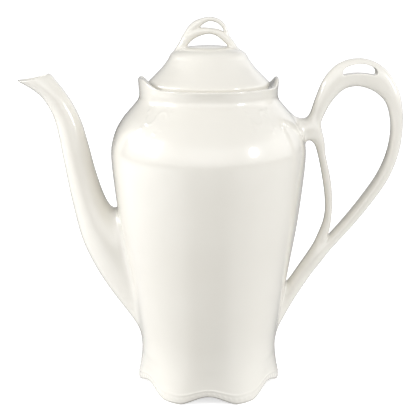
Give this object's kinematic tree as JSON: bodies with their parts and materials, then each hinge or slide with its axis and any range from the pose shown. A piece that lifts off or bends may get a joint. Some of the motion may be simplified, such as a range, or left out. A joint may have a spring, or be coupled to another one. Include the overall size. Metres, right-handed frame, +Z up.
{
  "type": "coffee pot",
  "caption": "Tall white porcelain coffee pot with a curved spout, an open-work looped handle, a scalloped foot and a lift-off lid.",
  "frame": {"origin": "on the pot's axis, in the plane that the foot's six lobes stand on", "axes": "+Z up along the pot's axis, -X towards the spout, +X towards the handle"},
  "size_m": [0.2432, 0.1238, 0.2399],
  "materials": {
    "pot_glaze": "gloss ivory-white glaze",
    "spout_glaze": "gloss ivory-white glaze",
    "handle_glaze": "gloss ivory-white glaze",
    "lid_glaze": "gloss ivory-white glaze",
    "finial_glaze": "gloss ivory-white glaze"
  },
  "bodies": {
    "pot": {"pot_body": "pot_glaze", "spout": "spout_glaze", "handle_inner_strand": "handle_glaze", "handle_outer_loop": "handle_glaze"},
    "lid": {"lid_cover": "lid_glaze", "finial_lower_arch": "finial_glaze", "finial_upper_arch": "finial_glaze"}
  },
  "joints": [
    {"name": "lid_lift", "type": "slide", "parent": "pot", "child": "lid", "axis": [0, 0, 1], "range_m": [0, 0.06]}
  ]
}
